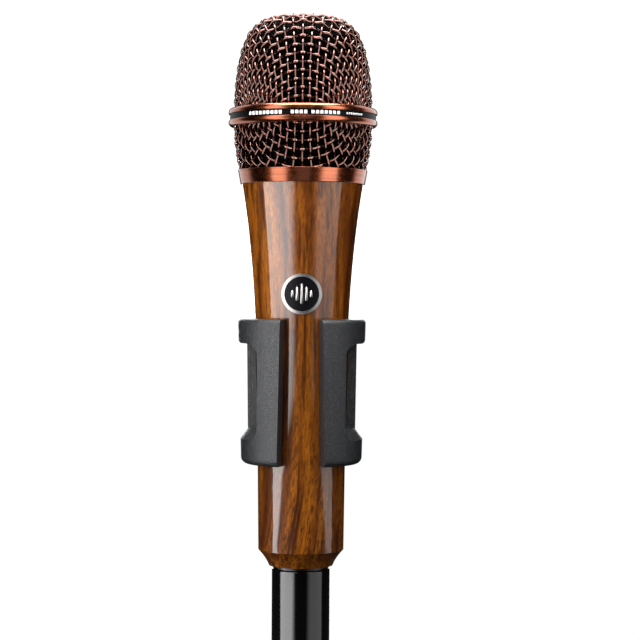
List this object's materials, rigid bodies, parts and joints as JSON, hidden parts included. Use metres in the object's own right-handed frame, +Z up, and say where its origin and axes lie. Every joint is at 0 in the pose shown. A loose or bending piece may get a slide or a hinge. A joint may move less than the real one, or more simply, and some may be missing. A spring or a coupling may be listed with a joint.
{
  "type": "handheld vocal microphone",
  "caption": "Handheld vocal microphone with a turned wooden handle and woven copper wire head, held in a swivel stand clip, with its cable plug fitted.",
  "frame": {"origin": "centre of the stand thread's mouth, on the swivel base's lower face", "axes": "+Z up, along the microphone's axis and into the stand thread; -Y towards the badge side; +X towards the tension knob"},
  "size_m": [0.049, 0.0635, 0.2642],
  "materials": {
    "wood": "figured hardwood under a glossy lacquer",
    "copper": "antique copper plate, finely brushed in rings",
    "woven_wire": "antique copper plated woven wire",
    "band_enamel": "gloss black enamel",
    "badge_metal": "polished plate",
    "foam": "open-cell black foam",
    "clip_plastic": "fine speckled moulded texture",
    "plug_plastic": "gloss black",
    "black_plastic": "satin moulded black",
    "rubber": "matte",
    "jacket": "satin cable jacket",
    "steel": "zinc plated",
    "black_steel": "black plated",
    "aluminium": "drawn tube",
    "brass": "turned brass",
    "magnet_steel": "nickel plated",
    "coil_wire": "enamelled copper wire",
    "film": "clear polyester film",
    "felt": "pressed felt",
    "nylon": "natural nylon",
    "board": "green solder mask",
    "cap_sleeve": "printed sleeve, left plain",
    "lead_red": "wire insulation",
    "lead_yellow": "wire insulation",
    "gold_contact": "gold flash"
  },
  "bodies": {
    "swivel": {"swivel_base": "clip_plastic", "thread_insert": "brass", "swivel_pin": "steel", "friction_washers": "nylon"},
    "knob_carrier": {"spring_washer": "steel"},
    "knob": {"tension_knob": "clip_plastic", "knob_nut": "brass"},
    "clip": {"clip_body": "clip_plastic"},
    "mic": {"handle_shell": "wood", "inner_tube": "aluminium", "thread_ring": "brass", "badge_plate": "badge_metal", "badge_inlay": "band_enamel", "xlr_ferrule": "black_steel", "xlr_insulator": "black_plastic", "xlr_pins": "gold_contact", "ground_lug": "steel", "set_screw": "black_steel", "shock_mount": "rubber", "rear_cup": "black_plastic", "capsule_basket": "aluminium", "yoke": "magnet_steel", "magnet": "magnet_steel", "pole_plate": "steel", "clamp_ring": "black_plastic", "front_cap": "black_plastic", "felt_disc": "felt", "capsule_terminals": "gold_contact", "pcb": "board", "pcb_carrier": "black_plastic", "transformer_core": "magnet_steel", "transformer_coil": "coil_wire", "pcb_capacitors": "cap_sleeve", "capsule_leads": "lead_red", "output_leads": "lead_yellow"},
    "moving_coil": {"diaphragm": "film", "voice_coil": "coil_wire"},
    "head_screw": {"wind_liner": "foam"},
    "head": {"head_gasket": "rubber", "collar": "copper", "lower_mesh": "woven_wire", "belt_ring": "copper", "belt_band": "band_enamel", "upper_mesh": "woven_wire"},
    "plug": {"plug_shell": "plug_plastic", "plug_insulator": "black_plastic", "plug_contacts": "gold_contact", "plug_chuck": "nylon", "plug_boot": "rubber", "cable_jacket": "jacket", "cable_conductors": "lead_red"},
    "latch": {"plug_latch": "black_steel"}
  },
  "joints": [
    {"name": "clip_tilt", "type": "hinge", "parent": "swivel", "child": "clip", "pos_m": [0, 0, 0.048], "axis": [1, 0, 0], "range_deg": [-150, 0]},
    {"name": "knob_travel", "type": "slide", "parent": "swivel", "child": "knob_carrier", "axis": [1, 0, 0], "range_m": [0, 0.0008]},
    {"name": "knob_turn", "type": "hinge", "parent": "knob_carrier", "child": "knob", "pos_m": [0.0136, 0, 0.048], "axis": [1, 0, 0], "range_deg": [0, 363]},
    {"name": "mic_slide", "type": "slide", "parent": "clip", "child": "mic", "axis": [0, 0, 1], "range_m": [0, 0.09]},
    {"name": "coil_travel", "type": "slide", "parent": "mic", "child": "moving_coil", "axis": [0, 0, 1], "range_m": [-0.0002, 0.0002], "stiffness_N_per_m": 800},
    {"name": "head_rise", "type": "slide", "parent": "mic", "child": "head_screw", "axis": [0, 0, 1], "range_m": [0, 0.0045]},
    {"name": "head_turn", "type": "hinge", "parent": "head_screw", "child": "head", "pos_m": [0, -0.028, 0.12], "axis": [0, 0, 1], "range_deg": [0, 1090]},
    {"name": "plug_pull", "type": "slide", "parent": "mic", "child": "plug", "axis": [0, 0, -1], "range_m": [0, 0.018]},
    {"name": "latch_press", "type": "slide", "parent": "plug", "child": "latch", "axis": [0, -1, 0], "range_m": [0, 0.001], "stiffness_N_per_m": 3000}
  ],
  "couplings": [
    {"joint": "knob_turn", "follows": "knob_travel", "rad_per_m": 7854},
    {"joint": "head_turn", "follows": "head_rise", "rad_per_m": 4188.8}
  ]
}
